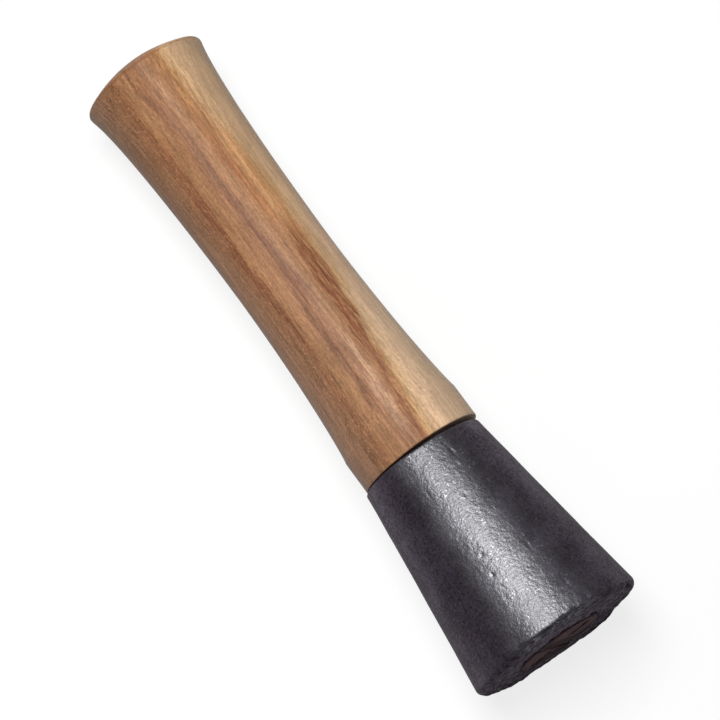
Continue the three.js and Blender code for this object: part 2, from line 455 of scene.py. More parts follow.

# Painted light along the head, on top and on the flanks: (height in mm, share of the above).
HIGHLIGHT_ALONG = [(4, 0.92), (28, 1.05), (50, 0.93), (72, 0.82)]
FLANK_LIGHT_ALONG = [(4, 0.92), (28, 0.94), (48, 0.98), (72, 1.22)]

# The iron's other colours. Bare iron runs from its hollows to its high places.
BARE_IRON = [
    (0.35, (0.032, 0.023, 0.033, 1)),
    (0.5, (0.064, 0.052, 0.068, 1)),
    (0.7, (0.135, 0.121, 0.142, 1)),
]
IRON_DUST = (0.15, 0.14, 0.155, 1)
IRON_GLINT = (0.30, 0.29, 0.31, 1)
IRON_BURR_AND_HIGHLIGHT = (0.150, 0.138, 0.158, 1)
FACE_PAINTED_SHADE = (0.014, 0.009, 0.013, 1)
RIM_PAINTED_SHADE = (0.012, 0.009, 0.013, 1)
IRON_METALLIC = 0.92
IRON_SPECULAR_TINT = (0.42, 0.42, 0.42, 1)
IRON_BUMP = 0.000031


def iron_paint(s, place, height, around, flank, cloud):
    """Paint colour with painted light: speckled highlight on top, blotched flanks, glints."""
    pebble = s.noise(place, size=0.9, detail=2.0)
    blotch = s.math("MULTIPLY_ADD", pebble, 0.72, s.math("MULTIPLY", cloud, 0.28))
    paint = s.graded(s.math("DEGREES", around), PAINTED_LIGHT_ROUND)
    paint = varied(s, paint, cloud, 0.35, 0.65, 0.08)
    blotched = varied(s, paint, blotch, 0.36, 0.64, 0.4)
    highlit_top = s.scaled(paint, s.curve(height, HIGHLIGHT_ALONG))
    blotched = s.scaled(blotched, s.curve(height, FLANK_LIGHT_ALONG))
    paint = s.mixed(flank, highlit_top, blotched)

    grit = s.noise(place, size=0.42, detail=1.5, roughness=0.6)
    depth = s.ranged(flank, 0.0, 0.6, 0.28, 0.08)
    speckle = s.math("MULTIPLY_ADD", s.ranged(grit, 0.3, 0.7, -1.0, 1.0), depth, 1.0)
    paint = s.scaled(paint, speckle)
    paint = s.mixed(s.ranged(grit, 0.56, 0.72, 0.0, 0.3), paint, IRON_DUST)

    # Painted glints: brighter specks, kept off the flanks, on the top where the highlight falls.
    glints = s.ranged(s.noise(place, size=0.75, detail=0.0), 0.64, 0.74)
    clusters = s.ranged(s.noise(place, size=4.5), 0.44, 0.60)
    glints = s.product(glints, clusters, s.ranged(flank, 0.5, 0.0, 0.0, 0.8))
    return s.mixed(glints, paint, IRON_GLINT)


def bare_iron(s, mottle, up, from_axis):
    """Bare face iron: painted shade below; a burr above the tenon's end, partly painted highlight.
    """
    bare = s.ramp(mottle, BARE_IRON)
    # Painted shade: the bare iron darker towards the bottom.
    bare = s.mixed(s.product(s.ranged(up, 4.0, -14.0), 0.5), bare, FACE_PAINTED_SHADE)
    eye = EYE_FACE_DIAMETER / 2
    # A brighter burr above the eye, partly a painted highlight.
    burr_and_highlight = s.product(
        s.ranged(from_axis, eye + 6.5, eye + 1.0),
        s.ranged(up, -4.0, 5.0),
        s.ranged(mottle, 0.38, 0.62, 0.35, 1.0),
        0.62,
    )
    return s.mixed(burr_and_highlight, bare, IRON_BURR_AND_HIGHLIGHT)


def painted_iron():
    """Black paint over sand-cast iron: pebbled, painted highlight on top, worn bare on the face."""
    s = Shader("painted_cast_iron")
    place = s.millimetres()
    across, up, height = s.parted(place)
    around = s.math("ARCTAN2", across, up)
    flank = s.ranged(s.math("ABSOLUTE", around), 0.3, 0.7)
    from_axis = s.math("SQRT", s.math("MULTIPLY_ADD", across, across, s.math("MULTIPLY", up, up)))
    cloud = s.noise(place, size=9.0, detail=4.0)
    mottle = s.noise(place, size=2.2, detail=4.0, roughness=0.65)

    paint = iron_paint(s, place, height, around, flank, cloud)
    bare = bare_iron(s, mottle, up, from_axis)
    on_face = s.ranged(s.math("MULTIPLY_ADD", mottle, 1.6, height), 1.3, 0.9)
    base = s.mixed(on_face, paint, bare)
    # Painted shade on the face's rounded rim, darker where the edge turns away from the light.
    rim = s.product(
        s.ranged(from_axis, FACE_DIAMETER / 2 - 3.5, FACE_DIAMETER / 2 - 1.5),
        s.ranged(height, 1.8, 0.8),
        s.ranged(mottle, 0.35, 0.6, 0.65, 0.3),
    )
    base = s.mixed(rim, base, RIM_PAINTED_SHADE)

    roughness = s.ranged(cloud, 0.3, 0.7, 0.36, 0.43)
    roughness = s.math("MULTIPLY_ADD", flank, 0.12, roughness)
    roughness = s.math("MULTIPLY_ADD", on_face, 0.25, roughness)
    relief = s.noise(place, size=0.5, detail=0.6)
    for size, weight in ((1.0, 2.4), (2.1, 3.6)):
        pebbles = s.noise(place, size=size, detail=1.0)
        relief = s.math("MULTIPLY_ADD", pebbles, weight, relief)
    return s.finish(
        Base_Color=base, Metallic=IRON_METALLIC, Roughness=roughness,
        Normal=s.bump(relief, IRON_BUMP), Specular_Tint=IRON_SPECULAR_TINT,
    )


# Colours across the grain, from the grey-brown side to the pale sapwood, partly the wood's own
# and partly painted light and shade from side to side: how far from the axis, in mm, and the
# colour there as a picture editor shows it.
GRAIN_AND_LIGHT_COLOURS = [
    (-22.0, (158, 130, 111)),
    (-17.0, (149, 113, 91)),
    (-13.0, (146, 107, 80)),
    (-10.0, (141, 98, 70)),
    (-8.0, (159, 116, 82)),
    (-5.0, (160, 117, 84)),
    (-2.5, (158, 114, 84)),
    (0.0, (155, 112, 84)),
    (3.0, (165, 124, 95)),
    (5.5, (164, 120, 87)),
    (8.5, (175, 128, 89)),
    (11.0, (180, 134, 93)),
    (12.6, (186, 150, 112)),
    (14.5, (198, 163, 129)),
    (16.0, (203, 168, 136)),
    (22.0, (192, 162, 132)),
]

# Where the pale sapwood begins, in mm across the grain: in the colours above, then along the grip
# as (height, across).
SAPWOOD_EDGE = 12.0
SAPWOOD_STARTS = SAPWOOD_EDGE - 1.5
SAPWOOD_IS_FULL = SAPWOOD_EDGE + 0.5
SAPWOOD_FROM = [
    (58, 5.8), (78, 6.5), (98, 8.8), (111, 9.5), (124, 10.5),
    (138, 12.3), (180, 12.4), (198, 11.0), (229, 9.1),
]

# How bright the sapwood is along the grip, where 0.5 leaves it as it is.
SAPWOOD_GLOW = [
    (58, 0.55), (96, 0.56), (125, 0.55), (150, 0.54), (172, 0.51), (190, 0.49), (235, 0.50),
]

# How the whole wood's colour changes along the grip: greyer near the head, browner at the butt.
TINT_ALONG = [
    (76, (0.99, 1.02, 1.06)),
    (118, (0.98, 1.04, 1.12)),
    (150, (0.97, 1.00, 1.05)),
    (172, (0.96, 0.97, 0.97)),
    (200, (0.95, 0.95, 0.92)),
]

# Single streaks: their middle as (height, across) in mm, half width in mm, strength and colour.
STREAKS = [
    ([(124, -8.4), (147, -9.0), (164, -9.6), (184, -9.3), (206, -8.4)], 2.0, 0.7, (118, 72, 50)),
    ([(196, -9.0), (236, -9.6)], 2.4, 0.3, (128, 82, 54)),
    # This streak is painted sheen: the grip's side lighter about 17 mm across.
    ([(76, -17.6), (110, -17.0), (150, -16.8), (176, -16.8)], 3.4, 0.6, (170, 131, 106)),
    ([(160, 9.6), (180, 9.7), (204, 9.8)], 3.0, 0.42, (212, 166, 122)),
    ([(196, 10.6), (214, 10.7), (236, 11.2)], 2.9, 0.5, (218, 180, 142)),
    ([(82, -8.4), (104, -9.0), (126, -9.6)], 1.3, 0.35, (122, 78, 56)),
    ([(198, -1.6), (212, -2.9), (224, -4.2), (237, -5.4)], 0.8, 0.75, (114, 72, 52)),
    ([(180, 0.0), (194, -0.3), (204, -1.0), (216, -2.2)], 1.8, 0.65, (134, 98, 82)),
    ([(153, 0.3), (167, 0.0), (180, 0.0)], 1.8, 0.65, (122, 86, 72)),
    ([(137, 1.7), (146, 1.5), (156, 1.2)], 1.9, 0.7, (128, 92, 78)),
    ([(118, -2.0), (126, -1.6), (136, -0.9), (148, -0.4)], 1.6, 0.6, (116, 78, 60)),
    ([(94, -3.0), (103, -2.8), (111, -2.6), (121, -2.2)], 1.7, 0.6, (116, 78, 60)),
    ([(92, 0.0), (98, -0.1), (106, 0.2)], 0.5, 0.6, (118, 82, 62)),
    ([(164, 6.9), (182, 6.2), (199, 5.9)], 0.7, 0.3, (184, 104, 62)),
    ([(150, 10.9), (171, 11.0), (190, 10.8)], 1.3, 0.2, (176, 126, 80)),
    ([(108, 7.6), (127, 8.4), (141, 9.0), (157, 9.4)], 3.4, 0.9, (122, 74, 50)),
    ([(70, 4.0), (78, 4.1), (91, 5.0), (104, 6.4), (118, 7.6)], 2.0, 0.7, (132, 84, 62)),
    ([(200, 2.5), (226, 2.2)], 1.6, 0.3, (190, 148, 118)),
    ([(124, -5.6), (164, -5.4)], 2.0, 0.22, (186, 136, 106)),
    ([(182, -2.0), (208, -2.2), (236, -2.4)], 1.8, 0.5, (148, 102, 70)),
    ([(186, 5.6), (210, 5.9), (236, 6.1)], 2.0, 0.4, (150, 104, 74)),
    ([(82, 0.8), (92, 0.6), (104, 0.7)], 1.6, 0.55, (194, 158, 134)),
    ([(176, -10.4), (204, -11.0), (236, -11.6)], 2.6, 0.3, (128, 86, 60)),
    ([(84, 2.2), (98, 2.6), (118, 3.4)], 1.2, 0.6, (204, 164, 134)),
    ([(136, 4.2), (162, 4.4)], 1.2, 0.45, (192, 146, 112)),
]

# The share of a streak's length over which each end of it fades, and of its half width that is
# at full strength.
STREAK_FADE = 0.22
STREAK_CORE = 0.3

# How much of the fibres' contrast is lost across the grain: (across in mm, share).
CALM_ACROSS = [(-10, 0.0), (-2, 0.08), (8, 0.14), (14, 0.46)]

# How far the grain is thrown sideways, in mm, by its slow sway, its ripples and its frayed edges.
GRAIN_SWAY = 1.6
GRAIN_RIPPLE = 4.2
GRAIN_FRAY = 2.4

PORE_COLOUR = (96, 60, 42)
FLECK_COLOUR = (190, 138, 98)
BUTT_DIRT_COLOUR = (118, 70, 40)
BUTT_PAINTED_LIGHT = (1.16, 1.12, 1.05, 1)
WOOD_BUMP = 0.00005

# How far the side that the streaks run on is turned from straight up.
GRAIN_TURN = math.radians(-6.63)


def grain_across(s, place):
    """How far each point lies across the grain, with the grain's own slow bends, in mm."""
    across, deep, height = s.parted(place)
    sway = s.noise(s.stretched(place, 14.0, 60.0), detail=1.0)
    ripple = s.noise(s.stretched(place, 3.0, 16.0), detail=3.0, roughness=0.6)
    fray = s.noise(s.stretched(place, 0.6, 7.0), detail=3.0, roughness=0.6)
    grain = across
    for noise, throw in ((sway, GRAIN_SWAY), (ripple, GRAIN_RIPPLE), (fray, GRAIN_FRAY)):
        grain = s.math("MULTIPLY_ADD", s.math("SUBTRACT", noise, 0.5), throw, grain)
    return grain, deep, height


def ground_colour(s, grain, height):
    """The wood's broad bands of colour, with the sapwood's edge bent as it runs along the grip."""
    edge = s.curve(height, SAPWOOD_FROM)
    shift = s.math("SUBTRACT", SAPWOOD_EDGE, edge)
    near_edge = s.ranged(s.math("DIVIDE", grain, edge), 0.1, 0.9, smooth=False)
    bent = s.math("MULTIPLY_ADD", near_edge, shift, grain)
    base = s.graded(bent, [(at, colour(*rgb)[:3]) for at, rgb in GRAIN_AND_LIGHT_COLOURS])
    glow = s.product(s.curve(height, SAPWOOD_GLOW), 2.0)
    in_sapwood = s.ranged(bent, SAPWOOD_STARTS, SAPWOOD_IS_FULL)
    base = s.mixed(in_sapwood, base, s.scaled(base, glow))
    return s.tinted(base, s.graded(height, TINT_ALONG))


def streaked(s, base, place, grain, deep, height):
    """The single streaks, frayed into threads, on the side that the grain shows best."""
    threads = s.noise(s.stretched(place, 0.5, 9.0), detail=3.0, roughness=0.65)
    near_side = s.product(s.ranged(deep, -3.0, 5.0), s.ranged(threads, 0.40, 0.57, 0.4, 1.2))
    for middle, half_width, strength, rgb in STREAKS:
        off = s.math("ABSOLUTE", s.math("SUBTRACT", grain, s.curve(height, middle)))
        start, end = middle[0][0], middle[-1][0]
        fade = STREAK_FADE * (end - start)
        body = s.product(
            s.ranged(off, half_width, STREAK_CORE * half_width),
            s.ranged(height, start - fade, start + fade),
            s.ranged(height, end + fade, end - fade),
            near_side,
            strength,
        )
        base = s.mixed(body, base, colour(*rgb))
    return base


def marked(s, base, place, grain, bands, fibres):
    """The wood's colour with its bands, fibres and mottling, calmer in the sapwood."""
    broad = s.noise(s.stretched(place, 2.4, 45.0), detail=2.0)
    mottle = s.noise(s.stretched(place, 0.55, 1.1), detail=2.0, roughness=0.6)
    clouds = s.noise(s.stretched(place, 6.0, 9.0), detail=2.0)
    even = base
    base = varied(s, base, broad, 0.34, 0.66, 0.09)
    base = varied(s, base, bands, 0.34, 0.66, 0.27)
    base = varied(s, base, fibres, 0.3, 0.7, 0.20)
    base = varied(s, base, mottle, 0.3, 0.7, 0.21)
    base = s.mixed(s.curve(grain, CALM_ACROSS), base, even)
    return varied(s, base, clouds, 0.3, 0.7, 0.05)


def turned_wood():
    """Oiled, streaked hardwood with its grain along the handle."""
    s = Shader("streaked_hardwood")
    place = s.add(
        "VectorRotate", {"Vector": s.millimetres(), "Angle": GRAIN_TURN},
        rotation_type="Z_AXIS",
    )
    grain, deep, height = grain_across(s, place)
    base = ground_colour(s, grain, height)
    base = streaked(s, base, place, grain, deep, height)
    bands = s.noise(s.stretched(place, 0.9, 22.0), detail=3.0, roughness=0.6, distortion=0.2)
    fibres = s.noise(s.stretched(place, 0.34, 3.6), detail=3.0, roughness=0.7)
    base = marked(s, base, place, grain, bands, fibres)

    pores = s.ranged(s.noise(s.stretched(place, 0.26, 2.6), detail=1.0), 0.64, 0.76)
    base = s.mixed(s.product(pores, 0.3), base, colour(*PORE_COLOUR))
    flecks = s.ranged(s.noise(s.stretched(place, 0.5, 0.9), detail=1.0), 0.57, 0.7)
    flecks = s.product(flecks, s.ranged(grain, -5.0, -10.0), 0.65)
    base = s.mixed(flecks, base, colour(*FLECK_COLOUR))

    dirt = s.product(
        s.ranged(height, BUTT - 0.9, BUTT - 0.4),
        s.ranged(height, BUTT + 0.3, BUTT),
        s.ranged(bands, 0.4, 0.6, 0.1, 0.55),
    )
    base = s.mixed(dirt, base, colour(*BUTT_DIRT_COLOUR))
    # Painted light: the butt's dome lightened where it turns away from the light.
    on_butt = s.ranged(height, BUTT, BUTT + 0.5)
    base = s.mixed(on_butt, base, s.tinted(base, BUTT_PAINTED_LIGHT))

    relief = s.math("MULTIPLY_ADD", pores, -0.8, fibres)
    return s.finish(
        Base_Color=base, Roughness=s.ranged(bands, 0.3, 0.7, 0.62, 0.72), IOR=1.36,
        Normal=s.bump(relief, WOOD_BUMP), Sheen_Weight=0.12, Sheen_Roughness=0.35,
    )


# The tenon's end and the wedges: dark with old oil, and blackest where they lie lowest,
# by painted shade.
END_GRAIN = [(0.3, (0.076, 0.040, 0.043, 1)), (0.7, (0.150, 0.080, 0.086, 1))]
WEDGE_GRAIN = [(0.3, (0.046, 0.026, 0.026, 1)), (0.7, (0.090, 0.052, 0.052, 1))]
PORE_DIRT = (0.014, 0.009, 0.010, 1)
LOW_PAINTED_SHADE = (0.012, 0.007, 0.009, 1)
END_ROUGHNESS = 0.85


# Painted shade: darkens a colour towards the lowest side.
def painted_shade_below(s, base, up):
    return s.mixed(s.ranged(up, 1.0, -11.0, 0.0, 0.75), base, LOW_PAINTED_SHADE)


def end_grain():
    """The tenon's end: open end grain, its shine lost where it is blackest."""
    s = Shader("oiled_end_grain")
    place = s.millimetres()
    up = s.parted(place)[1]
    rings = s.noise(s.add("Mapping", {"Vector": place, "Scale": (0.25, 0.9, 0.25)}), detail=4.0)
    pores = s.noise(place, size=0.45, detail=2.0)
    base = s.mixed(s.ranged(pores, 0.5, 0.7, 0.0, 0.6), s.ramp(rings, END_GRAIN), PORE_DIRT)
    return s.finish(
        Base_Color=painted_shade_below(s, base, up), Roughness=END_ROUGHNESS,
        Specular_IOR_Level=s.ranged(up, 1.0, -9.0, 0.16, 0.03),
        Normal=s.bump(s.math("ADD", rings, pores), 0.0001),
    )


def wedge_wood():
    """The wooden wedge: dark, oil-soaked end grain."""
    s = Shader("dark_wedge_wood")
    place = s.millimetres()
    rings = s.noise(s.stretched(place, 0.9, 14.0), detail=4.0, roughness=0.65)
    base = painted_shade_below(s, s.ramp(rings, WEDGE_GRAIN), s.parted(place)[1])
    return s.finish(
        Base_Color=base, Roughness=END_ROUGHNESS, Specular_IOR_Level=0.05,
        Normal=s.bump(rings, 0.00008),
    )


def hammered_steel():
    """Mild steel wedges: hammered, rusted and stained with old oil."""
    s = Shader("hammered_steel")
    place = s.millimetres()
    blows = s.noise(place, size=1.6, detail=3.0)
    rust = s.ranged(s.noise(place, size=0.9, detail=5.0, roughness=0.7), 0.44, 0.62)
    bare = s.ramp(blows, [(0.3, colour(62, 54, 53)), (0.7, colour(88, 79, 77))])
    return s.finish(
        Base_Color=s.mixed(rust, bare, colour(74, 50, 42)),
        Metallic=s.math("MULTIPLY_ADD", rust, -0.5, 0.5),
        Roughness=s.math("MULTIPLY_ADD", rust, 0.2, 0.7),
        Normal=s.bump(s.math("ADD", blows, rust), 0.00008),
        Specular_IOR_Level=0.1, Specular_Tint=(0.3, 0.3, 0.3, 1),
    )


# The floor's own colours, from dark to light, and the glow that makes it white to the camera.
FLOOR_TONES = [(0.3, (0.19, 0.19, 0.19, 1)), (0.7, (0.21, 0.21, 0.21, 1))]
FLOOR_GLOW = 0.8


def pale_floor():
    """A white studio floor: white behind the object, with the object's soft shadow on it."""
    s = Shader("pale_floor")
    path = s.add("LightPath").node.outputs
    seen = s.math("MAXIMUM", path["Is Camera Ray"], path["Is Glossy Ray"])
    seen = s.math("MAXIMUM", seen, path["Is Transmission Ray"])
    mottle = s.noise(s.millimetres(), size=160.0, detail=2.0)
    paper = s.add("BsdfDiffuse", {"Color": s.ramp(mottle, FLOOR_TONES)})
    glow = s.add("Emission", {"Strength": s.product(seen, FLOOR_GLOW)})
    s.add("OutputMaterial", {"Surface": s.add("AddShader", {0: paper, 1: glow})})
    return s.material


# The head

# How many points the head has round it, and the steps between its rings, in mm
HEAD_SIDES = 384
SIDE_STEP = 0.44
NECK_STEP = 0.5
EYE_STEP = 8.0
FACE_STEP = 0.35


def head_outline():
    """The head's section, (radius, height), from the face's edge round and back to it."""
    face = (FACE_DIAMETER / 2, 0)
    neck = (NECK_DIAMETER / 2, HEAD_HEIGHT)
    eye_neck = (EYE_NECK_DIAMETER / 2, HEAD_HEIGHT)
    eye_face = (EYE_FACE_DIAMETER / 2, 0)
    face_edge = rounded_corner(eye_face, face, neck, FACE_EDGE_RADIUS, 14)
    neck_edge = rounded_corner(face, neck, eye_neck, NECK_EDGE_RADIUS, 5)
    eye_top = rounded_corner(neck, eye_neck, eye_face, EYE_EDGE_RADIUS, 4)
    eye_foot = rounded_corner(eye_neck, eye_face, face, EYE_EDGE_RADIUS, 4)
    side = line(face_edge[-1], neck_edge[0], SIDE_STEP)
    share = side[:, 1] / HEAD_HEIGHT
    side[:, 0] -= 4 * SIDE_HOLLOW * share * (1 - share)
    return np.concatenate([
        face_edge,
        side,
        neck_edge,
        line(neck_edge[-1], eye_top[0], NECK_STEP),
        eye_top,
        line(eye_top[-1], eye_foot[0], EYE_STEP),
        eye_foot,
        line(eye_foot[-1], face_edge[0], FACE_STEP),
    ])


# The casting's skin: how deep its broad waves, lumps and orange peel are and how wide, in mm,
# and how far the whole skin lies in.
SKIN_WAVES = (0.08, 13)
SKIN_LUMPS = (0.02, 3.4)
SKIN_PEEL = (0.022, 1.1)
SKIN_IN = 0.06

# Small dents all over the casting: how many, and the range of their half length, half width and
# depth in mm.
DENTS = 60
DENT_LENGTHS = (0.6, 1.8)
DENT_WIDTHS = (0.5, 0.9)
DENT_DEPTHS = (0.08, 0.24)

# The hammered face: its waves and lumps, the folds torn in it, which run round it, and the lip
# round the eye, in mm.
FACE_WAVES = (0.22, 5, 40)
FACE_LUMPS = (0.12, 1.6, 40)
FACE_IN = 0.12
FOLD_DEPTH = 0.35
FOLD_WIDTH = 1.1
FOLD_LENGTH = 7.0
FOLD_RADIUS = 22
LIP_HEIGHT = 0.45
RIM_CHIP_DEPTH = 0.35

# Where the face's lower rim is hammered outwards, or worn: how far sideways the place is, half its
# width, and how far the rim stands out along the axis, in mm.
RIM_SWELLINGS = [(-16.5, 5.2, 0.46), (14.5, 8.0, 0.66), (27.0, 4.5, -0.42)]

# Single pits in the casting's side: degrees round from the top, then height, half length, half
# width and depth in mm.
PITS = [
    (-15.4, 26.0, 1.0, 0.8, 0.30),
    (17.0, 66.7, 2.2, 0.6, 0.22),
    (-52.0, 15.0, 1.0, 0.8, 0.30),
    (18.9, 10.3, 1.8, 0.5, 0.20),
    (-14.0, 33.0, 0.8, 1.2, 0.15),
]


def dent(points, centre, length, width, depth):
    """How deep each point of the head's side lies in a dent drawn out along the axis."""
    angle, height = centre
    radius = np.hypot(points[:, 0], points[:, 1])
    turn = np.angle(np.exp(1j * (np.arctan2(points[:, 1], points[:, 0]) - angle)))
    off = np.hypot(turn * radius / width, (-points[:, 2] - height) / length)
    return depth * np.exp(-(off**2) * 2)


def casting_relief(points, on_side, broad, lumps, peel):
    """The skin of the head's side: waves, lumps, orange peel, dents and pits."""
    relief = waves(broad, points, *SKIN_WAVES) + waves(lumps, points, *SKIN_LUMPS)
    relief = on_side * (relief + waves(peel, points, *SKIN_PEEL))
    relief -= on_side * SKIN_IN
    rng = np.random.default_rng(5)
    for _ in range(DENTS):
        centre = (rng.uniform(-math.pi, math.pi), rng.uniform(4, HEAD_HEIGHT - 2))
        length, width = rng.uniform(*DENT_LENGTHS), rng.uniform(*DENT_WIDTHS)
        relief -= on_side * dent(points, centre, length, width, rng.uniform(*DENT_DEPTHS))
    for degrees, height, *size in PITS:
        relief -= on_side * dent(points, (math.radians(90 - degrees), height), *size)
    return relief


def face_relief(points, radius, broad, lumps, bites):
    """The hammered face: waves, torn folds and the lip raised round the eye."""
    angle = np.arctan2(points[:, 1], points[:, 0])
    round_face = angle * FOLD_RADIUS / FOLD_LENGTH
    folds = bites(np.stack([radius / FOLD_WIDTH, round_face, np.zeros(len(points))], 1))
    rough = waves(broad, points, *FACE_WAVES) + waves(lumps, points, *FACE_LUMPS)
    torn = -FOLD_DEPTH * smooth_step(0.25, 0.6, folds)
    eye = EYE_FACE_DIAMETER / 2
    lip = LIP_HEIGHT * smooth_step(eye + 2.4, eye + 0.9, radius)
    lip *= smooth_step(-0.25, 0.35, lumps(points / 4 + 9))
    return rough + torn + lip - FACE_IN


def head_mesh():
    """The head with its casting's skin, hammered face, worn rim and slanted top."""
    outline = head_outline()
    points, normals = turned_points(outline, HEAD_SIDES)
    radius = np.hypot(points[:, 0], points[:, 1])
    height = -points[:, 2]
    on_side = smooth_step(0.2, 0.9, np.hypot(normals[:, 0], normals[:, 1]))
    on_side *= smooth_step(EYE_FACE_DIAMETER / 2 + 1, EYE_FACE_DIAMETER / 2 + 3, radius)
    on_face = smooth_step(0.1, 0.8, normals[:, 2]) * smooth_step(3, 0, height)
    rim = smooth_step(FACE_DIAMETER / 2 - 5, FACE_DIAMETER / 2 - 1, radius)
    rim *= smooth_step(6, 0, height)

    broad, lumps, peel, bites = (make_noise(seed) for seed in (11, 12, 13, 14))
    relief = casting_relief(points, on_side, broad, lumps, peel)
    relief += on_face * face_relief(points, radius, broad, lumps, bites)
    relief -= rim * RIM_CHIP_DEPTH * smooth_step(0.15, 0.7, bites(points / 3.5 + 3))
    points += normals * relief[:, None]

    below = smooth_step(4, 14, -points[:, 1])
    for at, half_width, swelling in RIM_SWELLINGS:
        near = np.exp(-(((points[:, 0] - at) / half_width) ** 4))
        points[:, 2] += rim * below * near * swelling
    tip = smooth_step(HEAD_HEIGHT - NECK_SLANT_REACH, HEAD_HEIGHT, height)
    points[:, 2] += tip * NECK_OUT_OF_SQUARE * points[:, 0] / (NECK_DIAMETER / 2)
    return lean(points), ring_faces(len(outline), HEAD_SIDES, closed=True)


# The handle

# How many points the handle has round it, the rings along the grip and the butt's dome, and the
# steps between the other rings, in mm
HANDLE_SIDES = 256
LOWER_GRIP_RINGS = 90
UPPER_GRIP_RINGS = 110
DOME_RINGS = 42
TENON_END_STEP = 0.45
TENON_STEP = 1.5
BAND_STEP = 0.8
CORNER_GAP = 0.2


def tenon_radius(height):
    """The tenon follows the eye's taper, a fit clearance inside it."""
    eye = np.interp(height, [0, HEAD_HEIGHT], [EYE_FACE_DIAMETER, EYE_NECK_DIAMETER])
    return eye / 2 - FIT_CLEARANCE


def handle_outline():
    """The handle's section from the middle of the tenon's end to the middle of the butt."""
    tenon_end = (tenon_radius(-TENON_PROUD), -TENON_PROUD)
    tenon_root = (tenon_radius(SHOULDER), SHOULDER)
    shoulder = (BAND_DIAMETER / 2, SHOULDER)
    band_end = (BAND_DIAMETER / 2, SHOULDER + BAND_LENGTH)
    waist = (WAIST_DIAMETER / 2, SHOULDER + WAIST_FROM_SHOULDER)
    butt = (BUTT_DIAMETER / 2, BUTT)
    flare_foot = (butt[0] - BUTT_FLARE_SLOPE * BUTT_FLARE_REACH, BUTT - BUTT_FLARE_REACH)

    below_band = (band_end[0] - BELOW_BAND_SLOPE * BELOW_BAND_REACH, band_end[1] + BELOW_BAND_REACH)
    before_waist = (waist[0], waist[1] - WAIST_REACH)
    past_waist = (waist[0], waist[1] + UPPER_WAIST_REACH)
    lower = bezier(band_end, below_band, before_waist, waist, LOWER_GRIP_RINGS)
    upper = bezier(waist, past_waist, flare_foot, butt, UPPER_GRIP_RINGS)
    across = np.linspace(1, 0, DOME_RINGS)
    dome = np.stack([butt[0] * across, BUTT + BUTT_DOME * (1 - across**2)], 1)

    end_corner = rounded_corner((0, -TENON_PROUD), tenon_end, tenon_root, TENON_EDGE_RADIUS, 4)
    shoulder_corner = rounded_corner(tenon_root, shoulder, band_end, SHOULDER_EDGE_RADIUS, 4)
    band_corner = rounded_corner(shoulder, band_end, lower[10], BAND_EDGE_RADIUS, 8)
    butt_corner = rounded_corner(flare_foot, butt, dome[4], BUTT_EDGE_RADIUS, 9)
    return np.concatenate([
        line((0, -TENON_PROUD), end_corner[0], TENON_END_STEP),
        end_corner,
        line(end_corner[-1], tenon_root, TENON_STEP),
        [tenon_root],
        line(tenon_root, shoulder_corner[0], TENON_STEP),
        shoulder_corner,
        line(shoulder_corner[-1], band_corner[0], BAND_STEP),
        band_corner,
        lower[lower[:, 1] > band_corner[-1][1] + CORNER_GAP],
        upper[(upper[:, 1] > waist[1]) & (upper[:, 1] < butt_corner[0][1] - CORNER_GAP)],
        butt_corner,
        dome[(dome[:, 0] < butt_corner[-1][0] - CORNER_GAP) & (dome[:, 0] > 0)],
    ])


# The turned surface, as depth and size in mm: the grip's slow wobble and its scrapes, the
# tenon's uneven sawn end, and the butt's scrapes.
GRIP_WOBBLE = (0.07, (22, 22, 40))
GRIP_SCRAPES = (0.015, (2.2, 2.2, 9.0))
TENON_END_WOBBLE = (0.14, 2.6)
TENON_END_SCRAPES = (0.07, 0.8)
TENON_END_IN = 0.1
BUTT_SCRAPES = (0.03, (0.8, 0.8, 4.0))


def handle_mesh():
    """The handle in one closed piece, before its tenon is cut."""
    outline = handle_outline()
    points, normals = turned_points(outline, HANDLE_SIDES)
    height = -points[:, 2]
    wobble, scrape = make_noise(21), make_noise(22)
    on_grip = smooth_step(SHOULDER + 0.5, SHOULDER + 3, height)
    relief = on_grip * waves(wobble, points, *GRIP_WOBBLE)
    relief += on_grip * waves(scrape, points, *GRIP_SCRAPES)
    on_end = smooth_step(0.0, -TENON_PROUD * 0.9, height)
    sawn = waves(wobble, points, *TENON_END_WOBBLE) + waves(scrape, points, *TENON_END_SCRAPES)
    relief += on_end * (sawn - TENON_END_IN)
    on_butt = smooth_step(BUTT - 0.4, BUTT + 0.4, height)
    relief += on_butt * waves(scrape, points, *BUTT_SCRAPES)
    points += normals * relief[:, None]
    at_butt = smooth_step(BUTT - BUTT_FLARE_REACH, BUTT, height)
    points[:, 2] -= at_butt * BUTT_OUT_OF_SQUARE * points[:, 0] / (BUTT_DIAMETER / 2)
    points = lean(points)

    faces = ring_faces(len(outline), HANDLE_SIDES, closed=False)
    count = len(points)
    last = count - HANDLE_SIDES
    tenon_centre = points[:HANDLE_SIDES].mean(0)
    butt_centre = points[last:].mean(0)
    points = np.concatenate([points, [tenon_centre, butt_centre]])
    for j in range(HANDLE_SIDES):
        k = (j + 1) % HANDLE_SIDES
        faces.append((count, j, k))
        faces.append((count + 1, last + k, last + j))
    return points, faces


def slot_points(section, half_width, turn, off_centre):
    """A flat-sided cutter: its section (half thickness, height), drawn across the tenon."""
    ring = section + [(-t, h) for t, h in reversed(section)]
    across = off_centre + np.array([-half_width, half_width])
    cos, sin = math.cos(turn), math.sin(turn)
    points = [
        (w * cos - t * sin, w * sin + t * cos, -h)
        for w in across
        for t, h in ring
    ]
    size = len(ring)
    faces = [tuple(range(size)), tuple(range(size, 2 * size))[::-1]]
    for i in range(size):
        k = (i + 1) % size
        faces.append((i, size + i, size + k, k))
    return np.array(points), faces


